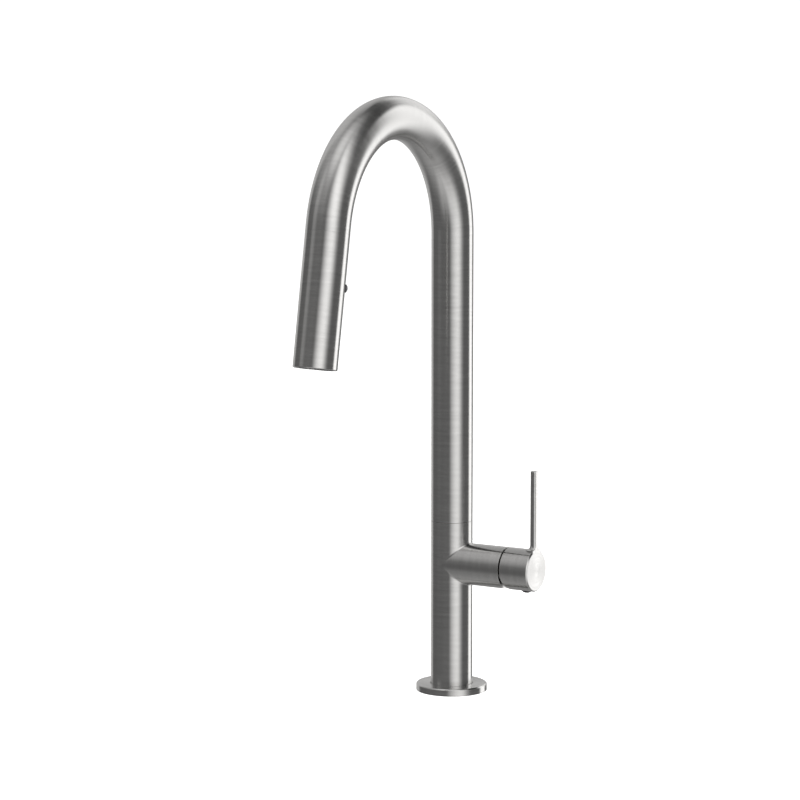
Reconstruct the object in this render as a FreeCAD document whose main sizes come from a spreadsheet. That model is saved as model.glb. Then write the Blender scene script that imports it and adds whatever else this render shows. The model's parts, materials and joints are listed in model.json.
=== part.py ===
"""Pull-down kitchen faucet: a column with a side lever, a swivelling arch spout and a spray head
that pulls down from its end on a hose.

Frame: millimetres, +Z up. The origin is the middle of the base flange where it rests on the deck,
the spout reaches towards -Y and the lever's axis points along +X.
"""
import FreeCAD, Part
import Sketcher
import math
import os

OUT = "parts"

# Driving dimensions, in millimetres and degrees.
DIMENSIONS = {
    # the one tube size that the column, spout, spray head, side housing and hub share
    "tube_radius": 16.0,
    "tube_wall": 1.5,
    "fit_gap": 0.05,
    # arch spout: a vertical run, one bend and the straight run down to the outlet
    "swivel_height": 132.1,
    "swivel_gap": 0.3,
    "bend_radius": 88.6,
    "bend_height": 352.4,
    "bend_sweep": 169.7,
    "outlet_run": 102.7,
    "dock_run": 6.0,
    "seam_gap": 0.25,
    # base flange and the threaded shank that passes through the deck
    "flange_radius": 27.3,
    "flange_thickness": 5.5,
    "flange_chamfer": 0.8,
    "foot_height": 1.5,
    "foot_gap": 0.35,
    "shank_radius": 14.0,
    "shank_bore": 12.5,
    "shank_length": 58.0,
    "deck_space": 30.0,
    # side housing, valve block and cartridge, along the lever's axis
    "lever_height": 99.5,
    "housing_end": 48.9,
    "hub_gap": 1.2,
    "seat_distance": 16.0,
    "hose_passage": 6.2,
    "port_circle": 10.1,
    "port_radius": 3.45,
    "port_angle": 65.0,
    "cartridge_radius": 12.5,
    "cartridge_start": 16.6,
    "cartridge_length": 29.4,
    "pivot_distance": 41.0,
    "stem_side": 7.6,
    "disc_offset": 1.5,
    # lever handle
    "hub_length": 23.7,
    "hub_chamfer": 0.9,
    "lever_radius": 3.0,
    "lever_setback": 2.3,
    "lever_top": 76.0,
    "plug_distance": 65.7,
    # swivel between the column and the spout
    "post_radius": 12.0,
    "post_bore": 8.0,
    "stop_slot": 164.0,
    # hose
    "hose_radius": 5.25,
    "hose_bore": 3.2,
    "hose_end_height": 84.0,
    # spray head, measured up from its outlet
    "shell_wall": 1.2,
    "spigot_radius": 10.9,
    "spigot_top": 102.2,
    "button_height": 58.7,
    "button_azimuth": 37.0,
    "button_radius": 3.0,
    "button_rise": 1.8,
    "nozzle_circle": 11.4,
}

doc = FreeCAD.newDocument("faucet")
sheet = doc.addObject("Spreadsheet::Sheet", "Sizes")
for row, (alias, value) in enumerate(DIMENSIONS.items(), start=1):
    sheet.set(f"A{row}", alias)
    sheet.set(f"B{row}", str(value))
    sheet.setAlias(f"B{row}", alias)
doc.recompute()


class Size(float):
    """A number that also carries the expression that works it out from the sheet."""

    def __new__(cls, value, text):
        size = super().__new__(cls, value)
        size.text = text
        return size

    def __add__(self, other):
        return Size(float(self) + float(other), f"({self.text} + {text_of(other)})")

    def __radd__(self, other):
        return Size(float(other) + float(self), f"({text_of(other)} + {self.text})")

    def __sub__(self, other):
        return Size(float(self) - float(other), f"({self.text} - {text_of(other)})")

    def __rsub__(self, other):
        return Size(float(other) - float(self), f"({text_of(other)} - {self.text})")

    def __mul__(self, other):
        return Size(float(self) * float(other), f"({self.text} * {text_of(other)})")

    def __rmul__(self, other):
        return Size(float(other) * float(self), f"({text_of(other)} * {self.text})")

    def __truediv__(self, other):
        return Size(float(self) / float(other), f"({self.text} / {text_of(other)})")

    def __neg__(self):
        return Size(-float(self), f"(0 - {self.text})")


def text_of(value):
    return value.text if isinstance(value, Size) else repr(float(value))


def sine(angle):
    return Size(math.sin(math.radians(angle)), f"sin({angle.text})")


def cosine(angle):
    return Size(math.cos(math.radians(angle)), f"cos({angle.text})")


class Cells:
    """The sheet's cells by name, as Size values."""

    def __getattr__(self, name):
        return Size(DIMENSIONS[name], f"Sizes.{name}")


d = Cells()

# Sizes that several pieces share.
bore_radius = d.tube_radius - d.tube_wall
hub_start = d.housing_end + d.hub_gap
disc_face = hub_start + d.hub_length
shell_top = d.outlet_run - d.dock_run - d.seam_gap
shell_bore = d.tube_radius - d.shell_wall
spray_tilt = 180.0 - d.bend_sweep
bend_end = (
    0.0,
    d.bend_radius * cosine(d.bend_sweep) - d.bend_radius,
    d.bend_height + d.bend_radius * sine(d.bend_sweep),
)
outlet = (
    0.0,
    bend_end[1] - d.outlet_run * sine(d.bend_sweep),
    bend_end[2] + d.outlet_run * cosine(d.bend_sweep),
)

# Directions in which a piece's own Z axis can point.
UP = FreeCAD.Rotation()
ALONG_LEVER_AXIS = FreeCAD.Rotation(FreeCAD.Vector(0, 1, 0), 90)
ACROSS = FreeCAD.Rotation(FreeCAD.Vector(1, 0, 0), -90)
ALONG_SPRAY = FreeCAD.Rotation(FreeCAD.Vector(-1, 0, 0), float(spray_tilt))
HALF_TURN = FreeCAD.Rotation(FreeCAD.Vector(0, 0, 1), 180)
BUTTON_OUT = FreeCAD.Rotation(FreeCAD.Vector(0, 0, 1), float(d.button_azimuth)) * ALONG_LEVER_AXIS

nodes = []


# --- building blocks -------------------------------------------------------------------------

def bind(item, **values):
    """Set properties, and tie those that come from the sheet to their expressions."""
    for name, value in values.items():
        setattr(item, name, float(value))
        if isinstance(value, Size):
            item.setExpression(name, value.text)
    return item


def place(item, at=(0, 0, 0), turn=UP):
    """Put an object's origin at a point, with its own Z axis turned."""
    item.Placement = FreeCAD.Placement(FreeCAD.Vector(*[float(value) for value in at]), turn)
    for axis, value in zip("xyz", at):
        if isinstance(value, Size):
            item.setExpression(f"Placement.Base.{axis}", value.text)
    return item


def cylinder(name, radius, height, at=(0, 0, 0), turn=UP, angle=360.0):
    item = doc.addObject("Part::Cylinder", name)
    bind(item, Radius=radius, Height=height, Angle=angle)
    return place(item, at, turn)


def cone(name, lower_radius, upper_radius, height, at=(0, 0, 0), turn=UP):
    item = doc.addObject("Part::Cone", name)
    bind(item, Radius1=lower_radius, Radius2=upper_radius, Height=height)
    return place(item, at, turn)


def box(name, length, width, height, at=(0, 0, 0)):
    """A box with its lowest corner at a point."""
    item = doc.addObject("Part::Box", name)
    bind(item, Length=length, Width=width, Height=height)
    return place(item, at)


def sphere(name, radius, at=(0, 0, 0)):
    item = doc.addObject("Part::Sphere", name)
    bind(item, Radius=radius)
    return place(item, at)


def drill(name, radius, start, end):
    """A cylinder from one point to another, for a slanting passage."""
    first = FreeCAD.Vector(*[float(value) for value in start])
    last = FreeCAD.Vector(*[float(value) for value in end])
    turn = FreeCAD.Rotation(FreeCAD.Vector(0, 0, 1), last - first)
    return cylinder(name, radius, (last - first).Length, start, turn)


def fuse(name, *items):
    joined = doc.addObject("Part::MultiFuse", name)
    joined.Shapes = list(items)
    return joined


def group(name, *items):
    """Separate solids kept together as one piece of the parts list."""
    together = doc.addObject("Part::Compound", name)
    together.Links = list(items)
    return together


def cut(name, base, *tools):
    tool = tools[0] if len(tools) == 1 else fuse(name + "_tools", *tools)
    result = doc.addObject("Part::Cut", name)
    result.Base = base
    result.Tool = tool
    return result


def common(name, first, second):
    result = doc.addObject("Part::MultiCommon", name)
    result.Shapes = [first, second]
    return result


def origin_plane(body, role):
    return next(item for item in body.Origin.OriginFeatures if item.Role == role)


def new_sketch(body, name, role):
    sketch = body.newObject("Sketcher::SketchObject", name)
    sketch.AttachmentSupport = [(origin_plane(body, role), "")]
    sketch.MapMode = "FlatFace"
    return sketch


def pin_point(sketch, edge, end, x, y):
    """Fix one end of a sketch edge at a place measured from the sketch's origin."""
    for kind, axis, value in (("DistanceX", -2, x), ("DistanceY", -1, y)):
        if float(value) == 0.0:
            sketch.addConstraint(Sketcher.Constraint("PointOnObject", edge, end, axis))
            continue
        number = sketch.addConstraint(Sketcher.Constraint(kind, -1, 1, edge, end, float(value)))
        if isinstance(value, Size):
            sketch.setExpression(f"Constraints[{number}]", value.text)


def draw_outline(sketch, outline):
    """A closed outline of straight edges, each corner tied to its own two measurements."""
    corners = [FreeCAD.Vector(float(x), float(y), 0) for x, y in outline]
    count = len(corners)
    edges = [Part.LineSegment(corners[i], corners[(i + 1) % count]) for i in range(count)]
    sketch.addGeometry(edges, False)
    for i in range(count):
        following = (i + 1) % count
        sketch.addConstraint(Sketcher.Constraint("Coincident", i, 2, following, 1))
    for i, (x, y) in enumerate(outline):
        pin_point(sketch, i, 1, x, y)


def turned(name, outline, at=(0, 0, 0), turn=UP):
    """A body turned about its own Z axis from an outline of (radius, height) corners."""
    body = doc.addObject("PartDesign::Body", name)
    sketch = new_sketch(body, name + "_outline", "XZ_Plane")
    draw_outline(sketch, outline)
    feature = body.newObject("PartDesign::Revolution", name + "_turn")
    feature.Profile = sketch
    feature.ReferenceAxis = (sketch, ["V_Axis"])
    feature.Angle = 360
    return place(body, at, turn)


def milled(name, outline, width, at=(0, 0, 0)):
    """A body padded equally both ways from an outline of (X, Z) corners."""
    body = doc.addObject("PartDesign::Body", name)
    sketch = new_sketch(body, name + "_outline", "XZ_Plane")
    draw_outline(sketch, outline)
    feature = body.newObject("PartDesign::Pad", name + "_pad")
    feature.Profile = sketch
    bind(feature, Length=width)
    feature.Midplane = True
    return place(body, at)


def ring(inner, outer, low, high):
    """The outline of a plain ring."""
    return [(inner, low), (outer, low), (outer, high), (inner, high)]


def arch_pipe(name, outer, inner, first_run, last_run, start_height):
    """A pipe that rises, goes round the spout's bend and runs on down towards the outlet."""
    body = doc.addObject("PartDesign::Body", name)
    section = new_sketch(body, name + "_section", "XY_Plane")
    for number, radius in enumerate((outer, inner)):
        centre = FreeCAD.Vector(0, 0, 0)
        section.addGeometry(Part.Circle(centre, FreeCAD.Vector(0, 0, 1), float(radius)), False)
        section.addConstraint(Sketcher.Constraint("Coincident", number, 3, -1, 1))
        size = section.addConstraint(Sketcher.Constraint("Radius", number, float(radius)))
        section.setExpression(f"Constraints[{size}]", radius.text)

    path = new_sketch(body, name + "_path", "YZ_Plane")
    radius = float(d.bend_radius)
    tilt = math.radians(float(spray_tilt))
    rise = float(first_run)
    centre = FreeCAD.Vector(radius, rise, 0)
    bend_stop = centre + FreeCAD.Vector(math.cos(tilt), math.sin(tilt), 0) * radius
    run_stop = bend_stop + FreeCAD.Vector(math.sin(tilt), -math.cos(tilt), 0) * float(last_run)
    circle = Part.Circle(centre, FreeCAD.Vector(0, 0, 1), radius)
    path.addGeometry(Part.LineSegment(FreeCAD.Vector(0, 0, 0), FreeCAD.Vector(0, rise, 0)), False)
    path.addGeometry(Part.ArcOfCircle(circle, tilt, math.pi), False)
    path.addGeometry(Part.LineSegment(bend_stop, run_stop), False)
    path.addConstraint(Sketcher.Constraint("Coincident", 0, 1, -1, 1))
    path.addConstraint(Sketcher.Constraint("Vertical", 0))
    path.addConstraint(Sketcher.Constraint("Tangent", 0, 2, 1, 2))
    path.addConstraint(Sketcher.Constraint("Tangent", 1, 1, 2, 1))
    for kind, edge, size in (
        ("DistanceY", 0, first_run),
        ("Radius", 1, d.bend_radius),
        ("Distance", 2, last_run),
    ):
        number = path.addConstraint(Sketcher.Constraint(kind, edge, float(size)))
        path.setExpression(f"Constraints[{number}]", size.text)
    drop = -(last_run * cosine(spray_tilt)) + d.bend_radius * sine(spray_tilt) + first_run
    number = path.addConstraint(Sketcher.Constraint("DistanceY", -1, 1, 2, 2, float(drop)))
    path.setExpression(f"Constraints[{number}]", drop.text)

    pipe = body.newObject("PartDesign::AdditivePipe", name + "_pipe")
    pipe.Profile = section
    pipe.Spine = (path, [])
    return place(body, (0, 0, start_height), HALF_TURN)


def keep(item, at=None, turn=UP):
    """Record a finished piece, and place it if it was built in its own frame."""
    if at is not None:
        place(item, at, turn)
    nodes.append(item)
    return item


# --- base and deck hardware ------------------------------------------------------------------

def make_base():
    ledge = d.shank_radius + 0.2
    sleeve = d.tube_radius + d.foot_gap
    rim = d.flange_radius - d.flange_chamfer
    shoulder = d.flange_thickness - d.flange_chamfer
    groove_inner, groove_outer, groove_depth = 18.5, 24.5, 1.6
    keep(turned("base_flange", [
        (ledge, 0),
        (groove_inner, 0),
        (groove_inner, groove_depth),
        (groove_outer, groove_depth),
        (groove_outer, 0),
        (d.flange_radius, 0),
        (d.flange_radius, shoulder),
        (rim, d.flange_thickness),
        (sleeve + 0.3, d.flange_thickness),
        (sleeve, d.flange_thickness - 0.3),
        (sleeve, d.foot_height),
        (ledge, d.foot_height),
    ]))
    keep(turned("flange_seal", ring(groove_inner + 0.1, groove_outer - 0.1, 0, groove_depth)))

    spigot_top = 16.0
    neck_drop = 0.3
    groove_low = d.shank_length - d.deck_space - 0.6
    groove_high = d.shank_length - d.deck_space + 0.3
    drop = -d.shank_length
    keep(turned("mounting_shank", [
        (d.shank_bore, 0),
        (d.shank_radius - 0.8, 0),
        (d.shank_radius, 0.8),
        (d.shank_radius, groove_low),
        (d.shank_radius - 0.5, groove_low),
        (d.shank_radius - 0.5, groove_high),
        (d.shank_radius, groove_high),
        (d.shank_radius, d.shank_length - neck_drop),
        (d.shank_radius - 0.4, d.shank_length - neck_drop),
        (d.shank_radius - 0.4, d.shank_length + d.foot_height),
        (bore_radius - d.fit_gap, d.shank_length + d.foot_height),
        (bore_radius - d.fit_gap, d.shank_length + spigot_top),
        (d.shank_bore, d.shank_length + spigot_top),
    ], (0, 0, drop)))


def make_deck_nut():
    """What tightens under the deck: two washers, a hexagonal nut and its three jack screws."""
    loose = d.shank_radius + 0.3
    rubber_thickness, steel_thickness = 3.0, 2.0
    nut_thickness, nut_corner = 9.0, 25.5
    screw_circle, screw_radius, screw_length = 18.6, 2.5, 16.0
    head_radius, head_height, slot_width = 4.0, 3.5, 1.0
    below_deck = -d.deck_space
    keep(turned("deck_rubber_washer", ring(loose, 27.0, 0, rubber_thickness),
                (0, 0, below_deck - rubber_thickness)))
    steel_bottom = below_deck - rubber_thickness - steel_thickness
    keep(turned("deck_steel_washer", ring(loose, 26.0, 0, steel_thickness), (0, 0, steel_bottom)))

    nut_bottom = steel_bottom - 2.5 - nut_thickness
    prism = doc.addObject("Part::Prism", "nut_prism")
    prism.Polygon = 6
    bind(prism, Circumradius=nut_corner, Height=nut_thickness)
    place(prism, (0, 0, nut_bottom))
    crown = cone("nut_crown", 22.6, 30.0, 9.4, (0, 0, nut_bottom - 0.4))
    tools = [cylinder("nut_bore", loose, nut_thickness + 2, (0, 0, nut_bottom - 1))]
    screws = []
    for number in range(3):
        angle = math.radians(120 * number + 90)
        x, y = screw_circle * math.cos(angle), screw_circle * math.sin(angle)
        tools.append(cylinder(f"nut_screw_hole_{number}", screw_radius + 0.05, nut_thickness + 2,
                              (x, y, nut_bottom - 1)))
        shaft = cylinder(f"screw_shaft_{number}", screw_radius, screw_length,
                         (x, y, steel_bottom - screw_length))
        head_bottom = steel_bottom - screw_length - head_height
        head = cylinder(f"screw_head_{number}", head_radius, head_height, (x, y, head_bottom))
        slot = box(f"screw_slot_{number}", 2 * head_radius + 1, slot_width, 1.4,
                   (x - head_radius - 0.5, y - slot_width / 2, head_bottom - 0.2))
        screws.append(cut(f"screw_{number}", fuse(f"screw_blank_{number}", shaft, head), slot))
    keep(cut("mounting_nut", common("nut_blank", prism, crown), *tools))
    keep(group("nut_screws", *screws))


# --- column, side housing and valve ----------------------------------------------------------

def make_body():
    """The column and the side housing, two tubes of one size that meet in a mitre."""
    column_height = d.swivel_height - d.swivel_gap / 2 - d.foot_height
    column = cylinder("column_outside", d.tube_radius, column_height, (0, 0, d.foot_height))
    arm = cylinder("housing_outside", d.tube_radius, d.housing_end, (0, 0, d.lever_height),
                   ALONG_LEVER_AXIS)
    column_bore = cylinder("column_bore", bore_radius, column_height + 2,
                           (0, 0, d.foot_height - 1))
    arm_bore = cylinder("housing_bore", bore_radius, d.housing_end + 1, (0, 0, d.lever_height),
                        ALONG_LEVER_AXIS)
    keep(cut("faucet_body", fuse("body_outside", column, arm), column_bore, arm_bore))


def port_points():
    """Where the hot, mixed and cold ports stand round the hose, seen from above."""
    angles = (-d.port_angle, 0.0, d.port_angle)
    return [(float(d.port_circle) * math.cos(math.radians(angle)),
             float(d.port_circle) * math.sin(math.radians(angle))) for angle in angles]


def seat_points():
    """Where the same three passages meet the cartridge, across the lever's axis."""
    height = float(d.lever_height)
    return [(-5.6, height - 3.2), (0.0, height + 5.8), (5.6, height - 3.2)]


def make_valve_block():
    """The block that carries three ports down the column, with a hole for the hose to pass."""
    ring_bottom, ring_height, back = 68.0, 14.0, 1.5
    passage, thread_depth = 1.9, 8.0
    radius = bore_radius - d.fit_gap
    lower = cylinder("block_ring", radius, ring_height, (0, 0, ring_bottom))
    tall = cylinder("block_column", radius, d.lever_height - ring_bottom, (0, 0, ring_bottom))
    front = box("block_front", 20, 40, 60, (back, -20, ring_bottom))
    riser = common("block_riser", tall, front)
    seat = cylinder("block_seat", radius, d.seat_distance - back, (back, 0, d.lever_height),
                    ALONG_LEVER_AXIS)
    tools = [cylinder("block_hose_hole", d.hose_passage, 80, (0, 0, ring_bottom - 1))]
    for number, ((x, y), (seat_y, seat_z)) in enumerate(zip(port_points(), seat_points())):
        top = float(d.lever_height) - 8.0
        tools.append(cylinder(f"block_thread_{number}", d.port_radius, thread_depth + 1,
                              (x, y, ring_bottom - 1)))
        tools.append(cylinder(f"block_passage_{number}", passage, top - ring_bottom,
                              (x, y, ring_bottom)))
        tools.append(drill(f"block_drill_{number}", passage, (x, y, top),
                           (float(d.seat_distance) + 1, seat_y, seat_z)))
    keep(cut("valve_block", fuse("block_blank", lower, riser, seat), *tools))

    rings = []
    for number, (seat_y, seat_z) in enumerate(seat_points()):
        rings.append(turned(f"seat_seal_{number}", ring(2.0, 3.0, 0, 0.6),
                            (d.seat_distance, seat_y, seat_z), ALONG_LEVER_AXIS))
    keep(group("cartridge_seat_seals", *rings))


def seat_holes(name, start, length, radius=1.9):
    return [cylinder(f"{name}_port_{number}", radius, length, (start, seat_y, seat_z),
                     ALONG_LEVER_AXIS)
            for number, (seat_y, seat_z) in enumerate(seat_points())]


def make_cartridge():
    """A single-lever ceramic cartridge, lying along the lever's axis."""
    centre = (d.cartridge_start, 0, d.lever_height)
    cavity, lip, base = 10.7, 9.2, 2.4
    length = d.cartridge_length
    casing = turned("cartridge_casing", [
        (0, 0),
        (d.cartridge_radius, 0),
        (d.cartridge_radius, 24.0),
        (13.6, 24.0),
        (13.6, 26.2),
        (12.3, 26.2),
        (12.3, length),
        (lip, length),
        (lip, length - 1.2),
        (cavity, length - 1.2),
        (cavity, base),
        (0, base),
    ], centre, ALONG_LEVER_AXIS)
    keep(cut("cartridge_housing", casing, *seat_holes("casing", d.cartridge_start - 1, 5)))

    disc_start = d.cartridge_start + base + 0.1
    disc_thickness = 3.0
    fixed = cylinder("fixed_disc_blank", cavity - 0.1, disc_thickness,
                     (disc_start, 0, d.lever_height), ALONG_LEVER_AXIS)
    keep(cut("ceramic_disc_fixed", fixed, *seat_holes("disc", disc_start - 1, 5)))

    slider_height = d.lever_height - d.disc_offset
    slide_start = disc_start + disc_thickness + 0.02
    moving = cylinder("moving_disc_blank", 8.4, disc_thickness, (slide_start, 0, slider_height),
                      ALONG_LEVER_AXIS)
    chamber = cylinder("mixing_chamber", 5.2, 2.8, (slide_start - 1, 0, slider_height - 0.8),
                       ALONG_LEVER_AXIS)
    keep(cut("ceramic_disc_moving", moving, chamber))

    slider_start = slide_start + disc_thickness
    slider = cylinder("slider_blank", 8.4, 5.7, (slider_start, 0, slider_height),
                      ALONG_LEVER_AXIS)
    socket = cylinder("slider_socket", 2.8, 6.0, (slider_start + 0.9, 0, d.lever_height),
                      ALONG_LEVER_AXIS)
    keep(cut("disc_slider", slider, socket))


def make_stem():
    """The carrier that turns for temperature, its pin, and the stem that rocks on the pin."""
    carrier_start = 31.3
    shoulder = 44.3
    top = d.cartridge_start + d.cartridge_length + 0.6
    height = d.lever_height
    blank = turned("carrier_blank", [
        (0, 0),
        (10.4, 0),
        (10.4, shoulder - carrier_start),
        (8.85, shoulder - carrier_start),
        (8.85, top - carrier_start),
        (0, top - carrier_start),
    ], (carrier_start, 0, height), ALONG_LEVER_AXIS)
    lower_slot = box("carrier_lower_slot", 8, 6.2, 9.6, (carrier_start - 1, -3.1, height - 3.2))
    upper_slot = box("carrier_upper_slot", 12, 8.4, 11.4, (37.0, -4.2, height - 6.1))
    pin_radius, pin_length = 1.5, 18.0
    pin_at = (d.pivot_distance, -pin_length / 2, height)
    pin_hole = cylinder("carrier_pin_hole", pin_radius + 0.02, 24,
                        (d.pivot_distance, -12, height), ACROSS)
    keep(cut("stem_carrier", blank, lower_slot, upper_slot, pin_hole))
    keep(cylinder("stem_pin", pin_radius, pin_length, pin_at, ACROSS))

    neck_radius, ball_at, square_start, stem_end = 2.4, 29.5, 38.0, 66.0
    side = d.stem_side
    square = box("stem_square", stem_end - square_start, side, side,
                 (square_start, -side / 2, height - side / 2))
    neck = cylinder("stem_neck", neck_radius, square_start - ball_at + 1, (ball_at, 0, height),
                    ALONG_LEVER_AXIS)
    ball = sphere("stem_ball", neck_radius, (ball_at, 0, height))
    rocker = cylinder("stem_pin_hole", pin_radius + 0.06, 24, (d.pivot_distance, -12, height),
                      ACROSS)
    keep(cut("cartridge_stem", fuse("stem_blank", square, neck, ball), rocker))


def make_cartridge_nut():
    nut_start = 42.85
    nut_end = 48.6
    inner = 10.9
    casing_clear = 12.4
    step = d.cartridge_start + d.cartridge_length + 0.1 - nut_start
    blank = turned("cartridge_nut_blank", [
        (casing_clear, 0),
        (bore_radius - d.fit_gap, 0),
        (bore_radius - d.fit_gap, nut_end - nut_start),
        (inner, nut_end - nut_start),
        (inner, step),
        (casing_clear, step),
    ], (nut_start, 0, d.lever_height), ALONG_LEVER_AXIS)
    notches = [
        box("nut_notch_upright", 2.0, 3.0, 40, (nut_end - 1.5, -1.5, d.lever_height - 20)),
        box("nut_notch_level", 2.0, 40, 3.0, (nut_end - 1.5, -20, d.lever_height - 1.5)),
    ]
    keep(cut("cartridge_nut", blank, *notches))


# --- lever handle ----------------------------------------------------------------------------

def make_handle():
    """The hub with its upright lever, relieved at the back so that it can tip outwards."""
    height = d.lever_height
    hub = turned("hub", [
        (0, 0),
        (d.tube_radius - 0.3, 0),
        (d.tube_radius, 0.3),
        (d.tube_radius, d.hub_length - d.hub_chamfer),
        (d.tube_radius - d.hub_chamfer, d.hub_length),
        (0, d.hub_length),
    ], (hub_start, 0, height), ALONG_LEVER_AXIS)
    lever_at = disc_face - d.lever_setback
    tip = 0.4
    foot = 12.0
    flare_bottom, flare_height, flare_radius = 15.2, 2.2, 4.8
    rod = cylinder("lever_rod", d.lever_radius, d.lever_top - tip - foot,
                   (lever_at, 0, height + foot))
    end = cone("lever_tip", d.lever_radius, d.lever_radius - tip, tip,
               (lever_at, 0, height + d.lever_top - tip))
    flare = cone("lever_flare", flare_radius, d.lever_radius, flare_height,
                 (lever_at, 0, height + flare_bottom))
    ahead = box("ahead_of_face", 10, 40, 120, (disc_face, -20, height - 20))

    bore_depth, socket_depth = 8.0, 17.0
    bore = cylinder("hub_bore", 13.0, bore_depth + 1, (hub_start - 1, 0, height),
                    ALONG_LEVER_AXIS)
    half = d.stem_side / 2 + 0.03
    socket = box("hub_socket", socket_depth - bore_depth + 1, half * 2, half * 2,
                 (hub_start + bore_depth - 1, -half, height - half))
    relief_top, relief_low, relief_depth = 3.6, 12.8, 1.95
    notch_low, notch_depth = 16.2, 4.8
    far_below = 18.0
    relief = milled("hub_relief", [
        (1.0, far_below - relief_top),
        (0, far_below - relief_top),
        (0, 0),
        (1.0 + notch_depth, 0),
        (1.0 + notch_depth, far_below - notch_low),
        (1.0 + relief_depth, far_below - relief_low),
    ], 40, (hub_start - 1.0, 0, height - far_below))

    screw_hole = cylinder("set_screw_hole", 2.5, 14, (d.plug_distance, 0, height - 16.5))
    counterbore = cylinder("plug_hole", 4.05, 6, (d.plug_distance, 0, height - 18.5))
    keep(cut("handle", fuse("handle_blank", hub, rod, end, flare), ahead, bore, socket, relief,
             screw_hole, counterbore))

    screw_top, screw_length = 3.85, 7.6
    screw = cylinder("set_screw_blank", 2.45, screw_length,
                     (d.plug_distance, 0, height - screw_top - screw_length))
    hexagon = doc.addObject("Part::Prism", "set_screw_socket")
    hexagon.Polygon = 6
    bind(hexagon, Circumradius=1.4, Height=3.0)
    place(hexagon, (d.plug_distance, 0, height - screw_top - screw_length - 0.5))
    keep(cut("set_screw", screw, hexagon))

    plug_radius, plug_rise, plug_top = 4.0, 1.6, 12.6
    dome_radius = (plug_radius ** 2 + plug_rise ** 2) / (2 * plug_rise)
    lowest = d.tube_radius + plug_rise
    barrel = cylinder("plug_barrel", plug_radius, lowest - plug_top,
                      (d.plug_distance, 0, height - lowest))
    dome = sphere("plug_dome", dome_radius, (d.plug_distance, 0, height - lowest + dome_radius))
    keep(common("screw_plug", barrel, dome))


# --- spout and its swivel --------------------------------------------------------------------

def make_spout():
    spout_start = d.swivel_height + d.swivel_gap / 2
    keep(arch_pipe("spout_tube", d.tube_radius, bore_radius, d.bend_height - spout_start,
                   d.dock_run, spout_start))

    post_bottom = 116.0
    thread_top = d.swivel_height - 2.0 - post_bottom
    groove_low = 158.4 - post_bottom
    groove_high = 159.7 - post_bottom
    post_top = 164.0 - post_bottom
    neck = d.post_radius
    keep(turned("swivel_post", [
        (d.post_bore, 0),
        (bore_radius - d.fit_gap, 0),
        (bore_radius - d.fit_gap, thread_top),
        (neck, thread_top),
        (neck, groove_low),
        (neck - 0.8, groove_low),
        (neck - 0.8, groove_high),
        (neck, groove_high),
        (neck, post_top - 0.8),
        (neck - 0.8, post_top),
        (d.post_bore, post_top),
    ], (0, 0, post_bottom)))

    outer = bore_radius - d.fit_gap
    running = neck + 0.06
    keep(turned("spout_bush_lower", ring(running, outer, 0, 6.0), (0, 0, 134.0)))
    keep(turned("spout_bush_upper", ring(running, outer, 0, 5.9), (0, 0, 152.2)))
    insert = turned("insert_ring", ring(neck + 0.4, outer, 0, 11.8), (0, 0, 140.2))
    slot = cylinder("stop_slot_sector", d.tube_radius, 3.2, (0, 0, 144.4),
                    FreeCAD.Rotation(FreeCAD.Vector(0, 0, 1), 90 - float(d.stop_slot) / 2),
                    d.stop_slot)
    keep(cut("spout_insert", insert, slot))
    keep(cylinder("swivel_stop_pin", 1.2, 13.9 - float(neck), (0, d.post_radius, 146.0),
                  ACROSS))
    keep(cut("post_snap_ring",
             turned("snap_ring_blank", ring(neck - 0.75, 13.6, 0, 1.0), (0, 0, 158.5)),
             box("snap_ring_gap", 3.0, 20, 3.0, (-1.5, 5, 157.5))))

    collar_low = d.outlet_run - d.dock_run + 0.2
    collar_high = d.outlet_run - 0.3
    keep(turned("dock_collar", [
        (d.spigot_radius + 0.8, collar_low),
        (outer, collar_low),
        (outer, collar_high),
        (d.spigot_radius + 0.4, collar_high),
        (d.spigot_radius + 0.4, collar_low + 0.6),
    ], outlet, ALONG_SPRAY))


# --- hose ------------------------------------------------------------------------------------

def make_hose():
    """The spray hose, whole from the spray head to its end fitting below the shank."""
    hose_bottom = -74.0
    keep(arch_pipe("spray_hose", d.hose_radius, d.hose_bore, d.bend_height - hose_bottom,
                   d.outlet_run - d.hose_end_height, hose_bottom))
    keep(turned("hose_coupling", [
        (0, 0),
        (3.6, 0),
        (4.6, 1.0),
        (4.6, 6.0),
        (3.9, 6.0),
        (3.9, 8.0),
        (4.6, 8.0),
        (4.6, 12.0),
        (7.0, 12.0),
        (7.0, 15.0),
        (6.2, 15.0),
        (6.2, 24.0),
        (0, 24.0),
    ], (0, 0, hose_bottom - 24.05)))
    keep(turned("hose_ferrule", [
        (d.hose_bore, 79.6),
        (8.0, 79.6),
        (8.0, 82.0),
        (6.6, 82.0),
        (6.6, 96.4),
        (6.0, 97.0),
        (d.hose_radius + 0.05, 97.0),
        (d.hose_radius + 0.05, d.hose_end_height - 0.05),
        (d.hose_bore, d.hose_end_height - 0.05),
    ], outlet, ALONG_SPRAY))


# --- spray head ------------------------------------------------------------------------------

def make_spray_shell():
    rim, inner_rim = 0.7, 0.3
    blank = turned("shell_blank", [
        (shell_bore + inner_rim, 0),
        (d.tube_radius - rim, 0),
        (d.tube_radius, rim),
        (d.tube_radius, shell_top - 0.15),
        (d.tube_radius - 0.15, shell_top),
        (d.spigot_radius + 0.3, shell_top),
        (d.spigot_radius + 0.3, shell_top - 2.0),
        (shell_bore, shell_top - 2.0),
        (shell_bore, inner_rim),
    ])
    hole = cylinder("button_hole", d.button_radius + 0.35, 20, (0, 0, d.button_height),
                    BUTTON_OUT)
    keep(cut("spray_shell", blank, hole), outlet, ALONG_SPRAY)


def spool_point(distance):
    """A point on the button's axis, at a distance from the spray head's axis."""
    angle = math.radians(float(d.button_azimuth))
    return (distance * math.cos(angle), distance * math.sin(angle), d.button_height)


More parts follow.
